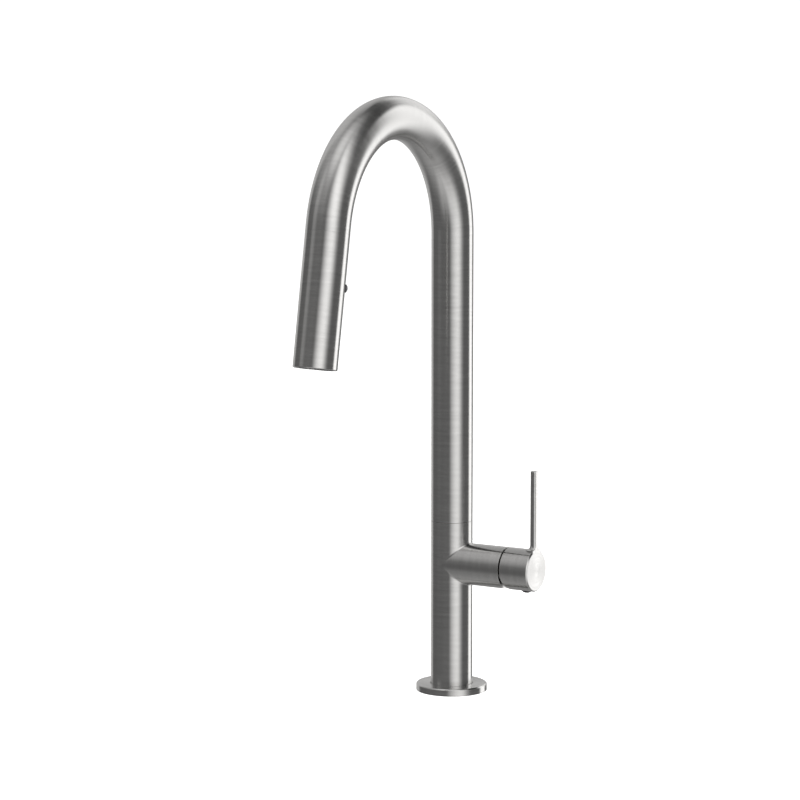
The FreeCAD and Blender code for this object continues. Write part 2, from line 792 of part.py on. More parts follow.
def make_spray_core():
    """The water body inside the shell, with the spigot that docks in the spout."""
    core_bottom = 9.6
    rib = shell_bore - d.fit_gap
    blank = turned("core_blank", [
        (12.2, core_bottom),
        (14.0, core_bottom),
        (14.0, 18.0),
        (rib, 18.0),
        (rib, 20.0),
        (14.0, 20.0),
        (14.0, 64.0),
        (rib, 64.0),
        (rib, 66.0),
        (d.spigot_radius, 69.0),
        (d.spigot_radius, d.spigot_top - 1.2),
        (d.spigot_radius - 1.2, d.spigot_top),
        (9.2, d.spigot_top),
        (9.2, 77.8),
        (5.0, 77.8),
        (5.0, 50.0),
        (2.6, 48.0),
        (2.6, 22.0),
        (12.2, 22.0),
    ])
    spool_bore = cylinder("spool_bore", 2.8, 27.2, spool_point(-12.2), BUTTON_OUT)
    button_well = cylinder("button_well", d.button_radius + 0.4, 6, spool_point(10.8), BUTTON_OUT)
    keep(cut("spray_core", blank, spool_bore, button_well), outlet, ALONG_SPRAY)

    keep(turned("swivel_nut", ring(6.95, 9.15, 82.4, 91.0), outlet, ALONG_SPRAY))
    keep(turned("hose_washer", ring(3.6, 8.8, 77.85, 79.3), outlet, ALONG_SPRAY))
    keep(turned("check_valve", [
        (0, 66.5),
        (1.2, 66.5),
        (1.2, 70.0),
        (3.0, 72.0),
        (3.0, 73.0),
        (4.95, 73.0),
        (4.95, 77.5),
        (0, 77.5),
    ], outlet, ALONG_SPRAY))


def make_spray_button():
    """The mode button, the diverter spool behind it and the spring that brings both back."""
    top = d.tube_radius + d.button_rise
    base = 12.4
    dome_radius = 4.2
    barrel = cylinder("button_barrel", d.button_radius, top - base, spool_point(base), BUTTON_OUT)
    dome = sphere("button_dome", dome_radius, spool_point(float(top) - dome_radius))
    shoulder = cylinder("button_shoulder", d.button_radius, 3.0, spool_point(base), BUTTON_OUT)
    keep(fuse("mode_button", common("button_crown", barrel, dome), shoulder), outlet, ALONG_SPRAY)

    land, waist = 2.45, 1.5
    spool = turned("spool_blank", [
        (0, 0),
        (land, 0),
        (land, 4.0),
        (waist, 4.8),
        (waist, 9.2),
        (land, 10.0),
        (land, 19.0),
        (0, 19.0),
    ], spool_point(-6.8), BUTTON_OUT)
    keep(group("diverter_spool", spool), outlet, ALONG_SPRAY)

    wire, coil, turns, length = 0.3, 2.0, 5, 4.2
    helix = Part.makeHelix(length / turns, length, coil)
    edge = helix.Edges[0]
    start = edge.valueAt(edge.FirstParameter)
    direction = edge.tangentAt(edge.FirstParameter)
    section = Part.Wire([Part.Circle(start, direction, wire).toShape()])
    spring = doc.addObject("Part::Feature", "button_spring")
    spring.Shape = helix.makePipeShell([section], True, True)
    inside = FreeCAD.Placement(FreeCAD.Vector(*spool_point(-11.7)), BUTTON_OUT)
    whole = FreeCAD.Placement(FreeCAD.Vector(*[float(value) for value in outlet]), ALONG_SPRAY)
    spring.Placement = whole * inside
    nodes.append(spring)


def make_spray_face():
    """The outlet: a face plate with rubber nozzles round an aerator."""
    face_low, face_high, centre_hole = 0.7, 4.7, 8.3
    count = 18
    outer = shell_bore - d.fit_gap
    plate = turned("face_blank", ring(centre_hole, outer - 0.6, face_low, face_high))
    nub_radius, nub_bore = 0.95, 0.4
    holes, nubs, bores = [], [], []
    for number in range(count):
        angle = math.radians(360 / count * number)
        x = float(d.nozzle_circle) * math.cos(angle)
        y = float(d.nozzle_circle) * math.sin(angle)
        holes.append(cylinder(f"face_hole_{number}", nub_radius + 0.05, 6, (x, y, 0)))
        nubs.append(cone(f"nub_{number}", nub_radius * 0.8, nub_radius, 4.9, (x, y, 0.3)))
        bores.append(cylinder(f"nub_bore_{number}", nub_bore, 8, (x, y, 0)))
    keep(cut("spray_face", plate, *holes), outlet, ALONG_SPRAY)
    mat = turned("nozzle_mat", ring(9.2, 13.4, face_high + 0.05, 6.2))
    keep(cut("spray_nozzles", fuse("nozzle_blank", mat, *nubs), *bores), outlet, ALONG_SPRAY)

    diffuser = turned("diffuser_blank", ring(5.0, outer, 6.3, 9.5))
    ports = []
    for number in range(count):
        angle = math.radians(360 / count * number)
        ports.append(cylinder(f"diffuser_hole_{number}", 0.8, 6,
                              (float(d.nozzle_circle) * math.cos(angle),
                               float(d.nozzle_circle) * math.sin(angle), 5.5)))
    keep(cut("diffuser_plate", diffuser, *ports), outlet, ALONG_SPRAY)

    keep(turned("aerator", [
        (6.4, 0.9),
        (7.9, 0.9),
        (8.2, 1.2),
        (8.2, 6.1),
        (6.9, 6.1),
        (6.9, 2.9),
        (6.4, 2.9),
    ], outlet, ALONG_SPRAY))
    cell, pitch, reach = 1.5, 2.1, 2
    screen = cylinder("screen_blank", 6.85, 1.4, (0, 0, 3.0))
    cells = []
    for i in range(-reach, reach + 1):
        for j in range(-reach, reach + 1):
            cells.append(box(f"screen_cell_{i + reach}_{j + reach}", cell, cell, 3,
                             (i * pitch - cell / 2, j * pitch - cell / 2, 2.2)))
    keep(cut("aerator_screen", screen, *cells), outlet, ALONG_SPRAY)


# --- the whole faucet ------------------------------------------------------------------------

def check_document():
    """Stop if any object failed to recompute or any piece has no valid shape."""
    for item in doc.Objects:
        if "Invalid" in item.State or "Error" in item.State:
            raise RuntimeError(f"{item.Name} failed: {item.State}")
    for item in nodes:
        if item.Shape.isNull() or not item.Shape.isValid() or not item.Shape.Solids:
            raise RuntimeError(f"{item.Label} has no valid shape")


def report_hose():
    """Compare each bent pipe's volume with its section times its length."""
    for item, outer, inner, first_run, last_run in (
        (doc.spout_tube, d.tube_radius, bore_radius,
         d.bend_height - d.swivel_height - d.swivel_gap / 2, d.dock_run),
        (doc.spray_hose, d.hose_radius, d.hose_bore, d.bend_height + 74.0,
         d.outlet_run - d.hose_end_height),
    ):
        length = float(first_run) + float(last_run)
        length += float(d.bend_radius) * math.radians(float(d.bend_sweep))
        expected = math.pi * (float(outer) ** 2 - float(inner) ** 2) * length
        print(f"{item.Label}: length {length:.1f} mm, bend radius {float(d.bend_radius)} mm,"
              f" volume {item.Shape.Volume:.0f} of {expected:.0f} mm3")


make_base()
make_deck_nut()
make_body()
make_valve_block()
make_cartridge()
make_stem()
make_cartridge_nut()
make_handle()
make_spout()
make_hose()
make_spray_shell()
make_spray_core()
make_spray_button()
make_spray_face()

doc.recompute()
check_document()
report_hose()
os.makedirs(OUT, exist_ok=True)
for item in nodes:
    item.Shape.exportStep(os.path.join(OUT, item.Label + ".step"))
    print(f"{item.Label}: {len(item.Shape.Solids)} solid(s), {item.Shape.Volume:.1f} mm3")
print(len(nodes), "pieces written")
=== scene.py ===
import json
import math

import bmesh
import bpy
from mathutils import Matrix, Vector


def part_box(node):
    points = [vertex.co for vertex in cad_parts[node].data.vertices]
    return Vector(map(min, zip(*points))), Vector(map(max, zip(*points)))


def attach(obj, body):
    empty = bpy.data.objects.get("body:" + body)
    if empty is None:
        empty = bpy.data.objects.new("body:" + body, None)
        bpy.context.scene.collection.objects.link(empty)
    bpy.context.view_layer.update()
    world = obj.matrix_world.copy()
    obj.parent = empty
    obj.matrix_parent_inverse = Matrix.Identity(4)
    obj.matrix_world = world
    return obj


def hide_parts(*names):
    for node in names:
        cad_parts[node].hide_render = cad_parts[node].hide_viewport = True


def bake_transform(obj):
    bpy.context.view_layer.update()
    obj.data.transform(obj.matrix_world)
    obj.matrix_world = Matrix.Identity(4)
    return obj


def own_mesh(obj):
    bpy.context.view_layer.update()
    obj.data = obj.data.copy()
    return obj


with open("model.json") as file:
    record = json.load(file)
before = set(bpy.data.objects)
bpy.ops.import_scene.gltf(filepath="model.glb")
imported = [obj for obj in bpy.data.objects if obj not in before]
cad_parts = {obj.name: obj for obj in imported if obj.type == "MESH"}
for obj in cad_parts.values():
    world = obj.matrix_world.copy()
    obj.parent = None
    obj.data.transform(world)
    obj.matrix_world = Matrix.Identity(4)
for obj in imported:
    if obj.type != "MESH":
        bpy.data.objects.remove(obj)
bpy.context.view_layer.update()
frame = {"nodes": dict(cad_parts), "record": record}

# --- sizes, in metres, from the frame ---------------------------------------------------------

JOINTS = {joint["name"]: joint for joint in frame["record"]["behaviour"]["joints"]}
BODY_LOW, BODY_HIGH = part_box("faucet_body")
SPOUT_LOW, SPOUT_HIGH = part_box("spout_tube")
HANDLE_LOW, HANDLE_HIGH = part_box("handle")
HOSE_LOW, HOSE_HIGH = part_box("spray_hose")

TUBE = -BODY_LOW[0]                      # outer radius that column, spout, housing and hub share
BORE = TUBE - 0.0015                     # inner radius of column and spout
FLANGE, _, FLANGE_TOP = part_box("base_flange")[1]
HOSE = HOSE_HIGH[0]
LEVER_AXIS = JOINTS["temperature"]["pos_m"][2]
PULL = Vector(JOINTS["spray_pull"]["axis"])
BEND_RADIUS = 0.0886
BEND_HEIGHT = SPOUT_HIGH[2] - TUBE - BEND_RADIUS
SWEEP = math.pi - math.asin(-PULL.y)     # how far round the arch goes
BEND_END = Vector((0, BEND_RADIUS * (math.cos(SWEEP) - 1),
                   BEND_HEIGHT + BEND_RADIUS * math.sin(SWEEP)))
OUTLET_RUN = 0.1027                      # from the end of the bend to the spray head's mouth
OUTLET = BEND_END + PULL * OUTLET_RUN
SHELL_TOP = 0.09645                      # length of the spray head's outer tube
BUTTON_HEIGHT = 0.0587                   # above the mouth
BUTTON_AZIMUTH = math.radians(37)
BUTTON_OUT = (Vector((math.cos(BUTTON_AZIMUTH), 0, 0))
              - PULL.cross(Vector((1, 0, 0))).normalized() * math.sin(BUTTON_AZIMUTH))
BUTTON_CENTRE = OUTLET - PULL * BUTTON_HEIGHT

AROUND = 128                             # corners round every large tube
SOFT_EDGE = 0.00025                      # radius of the fine edges that a polished cut has
SEAM = 0.00006                           # the hairline between two closely fitted tubes


# --- node helpers -----------------------------------------------------------------------------

class Nodes:
    """A node tree with short ways to add nodes and links."""

    def __init__(self, tree):
        self.tree = tree

    def add(self, kind, values=None, **settings):
        node = self.tree.nodes.new(kind)
        for name, value in settings.items():
            setattr(node, name, value)
        for name, value in (values or {}).items():
            if hasattr(value, "is_output"):
                self.tree.links.new(value, node.inputs[name])
            else:
                node.inputs[name].default_value = value
        return node

    def math(self, operation, first, second=0.0, clamp=False):
        node = self.add("ShaderNodeMath", {0: first, 1: second}, operation=operation,
                        use_clamp=clamp)
        return node.outputs[0]

    def ramp(self, factor, stops, interpolation="LINEAR"):
        """A colour ramp from (position, brightness or colour) stops."""
        node = self.add("ShaderNodeValToRGB", {"Fac": factor})
        ramp = node.color_ramp
        ramp.interpolation = interpolation
        while len(ramp.elements) < len(stops):
            ramp.elements.new(0.5)
        for element, (position, value) in zip(ramp.elements, stops):
            element.position = position
            element.color = (value, value, value, 1) if isinstance(value, float) else (*value, 1)
        return node.outputs["Color"]

    def noise(self, vector, scale, detail=2.0, roughness=0.5):
        node = self.add("ShaderNodeTexNoise",
                        {"Vector": vector, "Scale": scale, "Detail": detail,
                         "Roughness": roughness})
        return node.outputs["Fac"]

    def bump(self, height, strength, distance, normal=None):
        values = {"Height": height, "Strength": strength, "Distance": distance}
        if normal is not None:
            values["Normal"] = normal
        return self.add("ShaderNodeBump", values).outputs["Normal"]


def new_material(name):
    material = bpy.data.materials.new(name)
    material.use_nodes = True
    tree = material.node_tree
    tree.nodes.clear()
    nodes = Nodes(tree)
    shader = nodes.add("ShaderNodeBsdfPrincipled")
    output = nodes.add("ShaderNodeOutputMaterial", {"Surface": shader.outputs["BSDF"]})
    output.location = (400, 0)
    return material, nodes, shader


def feed(nodes, shader, **inputs):
    """Set or link the shader's inputs; underscores stand for spaces."""
    for name, value in inputs.items():
        socket = shader.inputs[name.replace("_", " ")]
        if hasattr(value, "is_output"):
            nodes.tree.links.new(value, socket)
        else:
            socket.default_value = value


# --- materials --------------------------------------------------------------------------------

def brush_position(nodes, along, around):
    """A place on the surface that closes on itself round the piece, from its UV map.

    The map's U is the distance along the piece in metres and its V one turn round it.
    """
    uv = nodes.add("ShaderNodeUVMap", uv_map="UVMap")
    split = nodes.add("ShaderNodeSeparateXYZ", {"Vector": uv.outputs["UV"]})
    angle = nodes.math("MULTIPLY", split.outputs["Y"], math.tau)
    x = nodes.math("MULTIPLY", nodes.math("COSINE", angle), around)
    y = nodes.math("MULTIPLY", nodes.math("SINE", angle), around)
    z = nodes.math("MULTIPLY", split.outputs["X"], along)
    return nodes.add("ShaderNodeCombineXYZ", {"X": x, "Y": y, "Z": z}).outputs["Vector"]


def brushed_steel(name="brushed_steel_visible", shade=0.60, roughness=0.205, anisotropy=0.85):
    """Stainless steel brushed round the tube: fine lines across it, blurred along it."""
    material, nodes, shader = new_material(name)
    fine = nodes.noise(brush_position(nodes, 2600.0, 1.2), 1.0, 3.0, 0.6)
    broad = nodes.noise(brush_position(nodes, 520.0, 0.7), 1.0, 2.0, 0.5)
    cloud = nodes.noise(brush_position(nodes, 14.0, 0.5), 1.0, 2.0, 0.5)
    lines = nodes.math("ADD", nodes.math("MULTIPLY", fine, 0.6), nodes.math("MULTIPLY", broad, 0.4))
    low, high = shade * 0.90, shade * 1.10
    warm = (1.0, 0.993, 0.98)
    colour = nodes.ramp(lines, [(0.3, tuple(low * c for c in warm)),
                                (0.7, tuple(high * c for c in warm))])
    spread = nodes.math("MULTIPLY", nodes.math("SUBTRACT", lines, 0.5), 0.16)
    drift = nodes.math("MULTIPLY", nodes.math("SUBTRACT", cloud, 0.5), 0.05)
    rough = nodes.math("ADD", nodes.math("ADD", spread, drift), roughness)
    tangent = nodes.add("ShaderNodeTangent", direction_type="UV_MAP", uv_map="UVMap")
    feed(nodes, shader, Base_Color=colour, Metallic=1.0, Roughness=rough,
         Anisotropic=anisotropy, Tangent=tangent.outputs["Tangent"],
         Normal=nodes.bump(lines, 0.05, 0.00002))
    return material


def turned_metal(name, colour, roughness, lines=900.0):
    """A machined metal with faint tool marks."""
    material, nodes, shader = new_material(name)
    place = nodes.add("ShaderNodeTexCoord").outputs["Object"]
    scale = (lines * 0.1, lines * 0.1, lines)
    stretched = nodes.add("ShaderNodeMapping", {"Vector": place, "Scale": scale})
    marks = nodes.noise(stretched.outputs["Vector"], 1.0, 3.0)
    stain = nodes.noise(place, 60.0, 3.0)
    dark = tuple(c * 0.82 for c in colour)
    light = tuple(min(1.0, c * 1.1) for c in colour)
    feed(nodes, shader, Metallic=1.0,
         Base_Color=nodes.ramp(stain, [(0.3, dark), (0.7, light)]),
         Roughness=nodes.math("ADD", nodes.math("MULTIPLY", marks, 0.16), roughness - 0.08),
         Normal=nodes.bump(marks, 0.12, 0.00004))
    return material


def moulded(name, colour, roughness, grain=2200.0, depth=0.08, coat=0.0):
    """A moulded plastic or rubber with a fine surface grain."""
    material, nodes, shader = new_material(name)
    place = nodes.add("ShaderNodeTexCoord").outputs["Object"]
    fine = nodes.noise(place, grain, 4.0, 0.6)
    broad = nodes.noise(place, grain / 18.0, 3.0)
    dark = tuple(c * 0.85 for c in colour)
    light = tuple(min(1.0, c * 1.12) for c in colour)
    feed(nodes, shader,
         Base_Color=nodes.ramp(broad, [(0.3, dark), (0.7, light)]),
         Roughness=nodes.math("ADD", nodes.math("MULTIPLY", fine, 0.14), roughness - 0.07),
         Normal=nodes.bump(fine, depth, 0.00003))
    shader.inputs["Coat Weight"].default_value = coat
    shader.inputs["Coat Roughness"].default_value = 0.12
    return material


def woven_hose(name="hose_cover"):
    """The grey nylon cover of the spray hose, drawn with lengthwise threads."""
    material, nodes, shader = new_material(name)
    uv = nodes.add("ShaderNodeUVMap", uv_map="UVMap")
    split = nodes.add("ShaderNodeSeparateXYZ", {"Vector": uv.outputs["UV"]})
    threads = nodes.math("SINE", nodes.math("MULTIPLY", split.outputs["Y"], math.tau * 44))
    rib = nodes.math("ABSOLUTE", threads)
    grit = nodes.noise(brush_position(nodes, 300.0, 30.0), 1.0, 3.0)
    tone = nodes.math("ADD", nodes.math("MULTIPLY", rib, 0.6), nodes.math("MULTIPLY", grit, 0.4))
    feed(nodes, shader,
         Base_Color=nodes.ramp(tone, [(0.15, (0.03, 0.03, 0.032)), (0.85, (0.13, 0.13, 0.135))]),
         Roughness=nodes.math("ADD", nodes.math("MULTIPLY", grit, 0.2), 0.42),
         Normal=nodes.bump(rib, 0.5, 0.0002))
    return material


STEEL = brushed_steel()
HOSE_COVER = woven_hose()
SLOT_MATERIALS = {
    "brushed": STEEL,
    "brass": turned_metal("machined_brass", (0.66, 0.50, 0.25), 0.32),
    "steel": turned_metal("turned_steel", (0.58, 0.58, 0.57), 0.26),
    "rubber": moulded("black_rubber", (0.022, 0.022, 0.022), 0.72, 900.0, 0.2),
    "nozzle_rubber": moulded("nozzle_rubber", (0.085, 0.086, 0.09), 0.55, 1600.0, 0.12),
    "white_plastic": moulded("white_acetal", (0.76, 0.76, 0.73), 0.38),
    "black_plastic": moulded("black_plastic", (0.018, 0.018, 0.02), 0.34, 2600.0, 0.05, 0.2),
    "grey_plastic": moulded("grey_plastic", (0.25, 0.26, 0.27), 0.42),
    "ceramic": moulded("ceramic_disc", (0.82, 0.80, 0.74), 0.16, 3000.0, 0.02, 0.5),
    "hose_braid": HOSE_COVER,
}


# --- mesh helpers -----------------------------------------------------------------------------

def raw_object(name, bm):
    mesh = bpy.data.meshes.new(name)
    bm.to_mesh(mesh)
    bm.free()
    piece = bpy.data.objects.new(name, mesh)
    bpy.context.collection.objects.link(piece)
    return piece


def new_piece(name, bm, material, body, replaced=(), sharp=35.0):
    """Make an object of a bmesh, smooth its shading and hang it on a CAD body."""
    piece = raw_object(name, bm)
    finish_piece(piece, material, body, replaced, sharp)
    return piece


def finish_piece(piece, material, body, replaced, sharp):
    piece.data.materials.clear()
    piece.data.materials.append(material)
    piece.data.shade_smooth()
    piece.data.set_sharp_from_angle(angle=math.radians(sharp))
    weigh = piece.modifiers.new("weighted_normals", "WEIGHTED_NORMAL")
    weigh.keep_sharp = True
    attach(piece, body)
    if replaced:
        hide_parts(*replaced)


def line_path(origin, direction):
    """A straight path: at a distance along it, its point and two directions across it."""
    origin, direction = Vector(origin), Vector(direction).normalized()
    side = Vector((1, 0, 0)) if abs(direction.x) < 0.5 else Vector((0, 1, 0))
    across = direction.cross(side).normalized()

    def at(distance):
        return origin + direction * distance, side, across
    return at


def arch_path(first_height):
    """The spout's middle line, measured up from a height on the column."""
    rise = BEND_HEIGHT - first_height
    bend = BEND_RADIUS * SWEEP

    def at(distance):
        if distance <= rise:
            return Vector((0, 0, first_height + distance)), Vector((1, 0, 0)), Vector((0, 1, 0))
        if distance <= rise + bend:
            angle = (distance - rise) / BEND_RADIUS
            point = Vector((0, BEND_RADIUS * (math.cos(angle) - 1),
                            BEND_HEIGHT + BEND_RADIUS * math.sin(angle)))
            return point, Vector((1, 0, 0)), Vector((0, math.cos(angle), math.sin(angle)))
        point = BEND_END + PULL * (distance - rise - bend)
        return point, Vector((1, 0, 0)), Vector((0, math.cos(SWEEP), math.sin(SWEEP)))
    return at, rise, bend


def sleeve(path, profile, closed=True, around=AROUND):
    """A skin round a path from (distance, radius) corners; closed joins the last to the first."""
    bm = bmesh.new()
    uv_layer = bm.loops.layers.uv.new("UVMap")
    rings = []
    along = [0.0]
    for (distance, radius), (before, before_radius) in zip(profile[1:], profile):
        along.append(along[-1] + math.hypot(distance - before, radius - before_radius))
    for distance, radius in profile:
        centre, side, across = path(distance)
        if radius < 1e-7:
            rings.append([bm.verts.new(centre)])
            continue
        ring = []
        for step in range(around):
            angle = math.tau * step / around
            offset = side * math.cos(angle) + across * math.sin(angle)
            ring.append(bm.verts.new(centre + offset * radius))
        rings.append(ring)
    count = len(rings)
    for i in range(count if closed else count - 1):
        first, second = rings[i], rings[(i + 1) % count]
        u_first = along[i]
        u_second = along[i + 1] if i + 1 < count else along[i] + 0.001
        for step in range(around):
            after = (step + 1) % around
            v_first, v_second = step / around, (step + 1) / around
            corners = []
            for ring, u, index, v in ((first, u_first, step, v_first),
                                      (first, u_first, after, v_second),
                                      (second, u_second, after, v_second),
                                      (second, u_second, step, v_first)):
                vert = ring[index] if len(ring) > 1 else ring[0]
                if all(vert is not known for known, _ in corners):
                    corners.append((vert, (u, v)))
            if len(corners) < 3:
                continue
            face = bm.faces.new([vert for vert, _ in corners])
            for loop, (_, uv) in zip(face.loops, corners):
                loop[uv_layer].uv = uv
    bmesh.ops.recalc_face_normals(bm, faces=bm.faces)
    return bm


def soft_corner(distance, radius, along_sign, out_sign, size, steps=4):
    """A quarter round from a tube's side to its end face, at the corner (distance, radius)."""
    points = []
    for step in range(steps + 1):
        angle = math.pi / 2 * step / steps
        points.append((distance - along_sign * size * (1 - math.sin(angle)),
                       radius - out_sign * size * (1 - math.cos(angle))))
    return points


def eased_chamfer(distance, radius, size, steps=5):
    """A 45 degree chamfer whose two corners are eased, before the end at a distance."""
    ease = size * 0.35
    points = []
    for turn, centre in ((0.0, (distance - size - ease * 0.4, radius - ease)),
                         (math.pi / 4, (distance - ease, radius - size - ease * 0.4))):
        for step in range(steps + 1):
            angle = turn + math.pi / 4 * step / steps
            points.append((min(distance, centre[0] + ease * math.sin(angle)),
                           min(radius, centre[1] + ease * math.cos(angle))))
    return points


def tube_profile(start, end, outer, inner, edge=SOFT_EDGE, step=0.004):
    """A pipe's closed profile with fine rounded rims, outside first."""
    first = [(d, r) for d, r in reversed(soft_corner(start, outer, -1, 1, edge))]
    count = max(1, round((end - start - 2 * edge) / step))
    middle = [(start + edge + (end - start - 2 * edge) * i / count, outer)
              for i in range(1, count)]
    last = soft_corner(end, outer, 1, 1, edge)
    back = [(end - (end - start) * i / count, inner) for i in range(count + 1)]
    return first + middle + last + back


def apply_modifiers(piece):
    """Replace an object's mesh with the result of its modifiers."""
    graph = bpy.context.evaluated_depsgraph_get()
    mesh = bpy.data.meshes.new_from_object(piece.evaluated_get(graph))
    piece.modifiers.clear()
    piece.data = mesh


def carve(piece, tool_bm, operation="DIFFERENCE"):
    """Cut a tool out of a piece, or join it on."""
    tool = raw_object("tool", tool_bm)
    boolean = piece.modifiers.new("carve", "BOOLEAN")
    boolean.operation = operation
    boolean.solver = "EXACT"
    boolean.object = tool
    apply_modifiers(piece)
    bpy.data.objects.remove(tool)


# --- visible pieces ---------------------------------------------------------------------------

def make_spout():
    path, rise, bend = arch_path(SPOUT_LOW[2])
    end = rise + bend + OUTLET_RUN - SHELL_TOP - SEAM
    profile = tube_profile(0.0, end, TUBE, BORE, 0.00005, 0.0035)
    new_piece("spout_skin", sleeve(path, profile), STEEL, "spout", ["spout_tube"])


def tee_patches(radius, low, high, end, weld):
    """The grids of a column and a side housing of one radius, open at their three ends.

    They meet in a mitre whose inner corner is rounded by a weld, which dies out at the tips.
    """
    quarter = AROUND // 4
    rows, weld_rows = 40, 6

    def place(step):
        angle = math.tau * step / AROUND
        level = step % (2 * quarter) == 0
        upright = step % (2 * quarter) == quarter
        return (0.0 if upright else math.cos(angle)), (0.0 if level else math.sin(angle))

    def weld_at(bite):
        share = min(1.0, max(0.0, bite / radius - 0.2) / 0.3)
        return weld * share * share * (3 - 2 * share)

    patches = []
    for up in (-1, 1):
        grid = []
        for row in range(rows + 1):
            line = []
            for step in range(AROUND + 1):
                across, deep = place(step)
                bite = max(0.0, across) * radius
                meet = LEVER_AXIS + up * (bite + weld_at(bite))
                z = meet + ((high if up > 0 else low) - meet) * row / rows
                line.append((Vector((radius * across, radius * deep, z)), (z, step / AROUND)))
            grid.append(line)
        patches.append(grid)
        corner = []
        for row in range(weld_rows + 1):
            share = row / weld_rows
            line = []
            for step in range(-quarter, quarter + 1):
                across, deep = place(step % AROUND)
                bite = across * radius
                size = weld_at(bite)
                point = Vector((bite + size * share * share, radius * deep,
                                LEVER_AXIS + up * (bite + size * (1 - share) ** 2)))
                line.append((point, (point.z, (step % AROUND) / AROUND)))
            corner.append(line)
        patches.append(corner)
    grid = []
    for row in range(rows // 2 + 1):
        line = []
        for step in range(AROUND + 1):
            across, deep = place(step)
            bite = abs(deep) * radius
            start = bite + weld_at(bite)
            x = start + (end - start) * row / (rows // 2)
            point = Vector((x, radius * across, LEVER_AXIS + radius * deep))
            line.append((point, (x, step / AROUND)))
        grid.append(line)
    patches.append(grid)
    return patches


def ring_patches(path, corners, u_start):
    """A grid round a path through (distance, radius) corners."""
    grid = []
    u = u_start
    previous = None
    for distance, radius in corners:
        if previous is not None:
            u += math.hypot(distance - previous[0], radius - previous[1])
        previous = (distance, radius)
        centre, side, across = path(distance)
        line = []
        for step in range(AROUND + 1):
            angle = math.tau * step / AROUND
            point = centre + (side * math.cos(angle) + across * math.sin(angle)) * radius
            line.append((point, (u, step / AROUND)))
        grid.append(line)
    return grid


def patch_mesh(patches):
    """One closed mesh of grids whose borders meet."""
    bm = bmesh.new()
    uv_layer = bm.loops.layers.uv.new("UVMap")
    for grid in patches:
        verts = [[bm.verts.new(point) for point, _ in line] for line in grid]
        for i in range(len(grid) - 1):
            for j in range(len(grid[0]) - 1):
                cells = ((i, j), (i, j + 1), (i + 1, j + 1), (i + 1, j))
                face = bm.faces.new([verts[a][b] for a, b in cells])
                for loop, (a, b) in zip(face.loops, cells):
                    loop[uv_layer].uv = grid[a][b][1]
    bmesh.ops.remove_doubles(bm, verts=bm.verts, dist=2e-6)
    bmesh.ops.recalc_face_normals(bm, faces=bm.faces)
    return bm


def make_body():
    """The column with its mitred side housing, as one skin with three fine rims."""
    low, high, end = BODY_LOW[2], SPOUT_LOW[2] - 3.5 * SEAM, BODY_HIGH[0]
    edge, weld = 0.0001, 0.0011
    patches = tee_patches(TUBE, low + edge, high - edge, end - edge, weld)
    patches += tee_patches(BORE, low, high, end, 0.0)
    column = line_path((0, 0, 0), (0, 0, 1))
    housing = line_path((0, 0, LEVER_AXIS), (1, 0, 0))
    foot = reversed(soft_corner(low, TUBE, -1, 1, edge))
    patches.append(ring_patches(column, [(low, BORE), *foot], low - 0.002))
    patches.append(ring_patches(column, [*soft_corner(high, TUBE, 1, 1, edge), (high, BORE)], high))
    patches.append(ring_patches(housing, [*soft_corner(end, TUBE, 1, 1, edge), (end, BORE)], end))
    skin = new_piece("body_skin", patch_mesh(patches), STEEL, "root",
                     ["faucet_body"], 30.0)
    places = [vert.co for vert in skin.data.vertices]
    on_mitre = [abs(abs(place.z - LEVER_AXIS) - place.x) < 3e-6 for place in places]
    for crease in skin.data.edges:
        if on_mitre[crease.vertices[0]] and on_mitre[crease.vertices[1]]:
            crease.use_edge_sharp = True


def make_flange():
    """The base ring: a chamfered rim, a small step round the column and a seal groove beneath."""
    top, foot = FLANGE_TOP, 0.0015
    rim, sleeve_radius, ledge = 0.0008, TUBE + 0.00035, 0.0142
    groove_inner, groove_outer, groove = 0.0185, 0.0245, 0.0016
    profile = [
        (0, ledge), (0, groove_inner), (groove, groove_inner), (groove, groove_outer),
        (0, groove_outer), (0, FLANGE - 0.0002), (0.0002, FLANGE),
        (top / 2, FLANGE), (top - rim - 0.0001, FLANGE), (top - rim, FLANGE - 0.00003),
        (top - rim / 2, FLANGE - rim / 2 + 0.00003),
        (top - 0.00003, FLANGE - rim), (top, FLANGE - rim - 0.0001),
        (top, FLANGE - 0.004), (top, TUBE + 0.004), (top, sleeve_radius + 0.0004),
        (top - 0.0001, sleeve_radius + 0.00015), (top - 0.0003, sleeve_radius),
        (foot, sleeve_radius), (foot, ledge),
    ]
    new_piece("flange_skin", sleeve(line_path((0, 0, 0), (0, 0, 1)), profile), STEEL,
              "root", ["base_flange"], 28.0)


def drill(start, direction, radius, depth, around):
    """The shape of a round hole from a point."""
    profile = [(0, 0), (0, radius), (depth, radius), (depth, 0)]
    return sleeve(line_path(start, direction), profile, closed=False, around=around)


def prism(outline, low, high):
    """A straight block from an outline in the XZ plane."""
    bm = bmesh.new()
    bm.loops.layers.uv.new("UVMap")
    ends = []
    for depth in (low, high):
        ends.append([bm.verts.new((x, depth, z)) for x, z in outline])
    count = len(outline)
    bm.faces.new(ends[0])
    bm.faces.new(list(reversed(ends[1])))
    for i in range(count):
        j = (i + 1) % count
        bm.faces.new((ends[0][i], ends[1][i], ends[1][j], ends[0][j]))
    bmesh.ops.recalc_face_normals(bm, faces=bm.faces)
    return bm


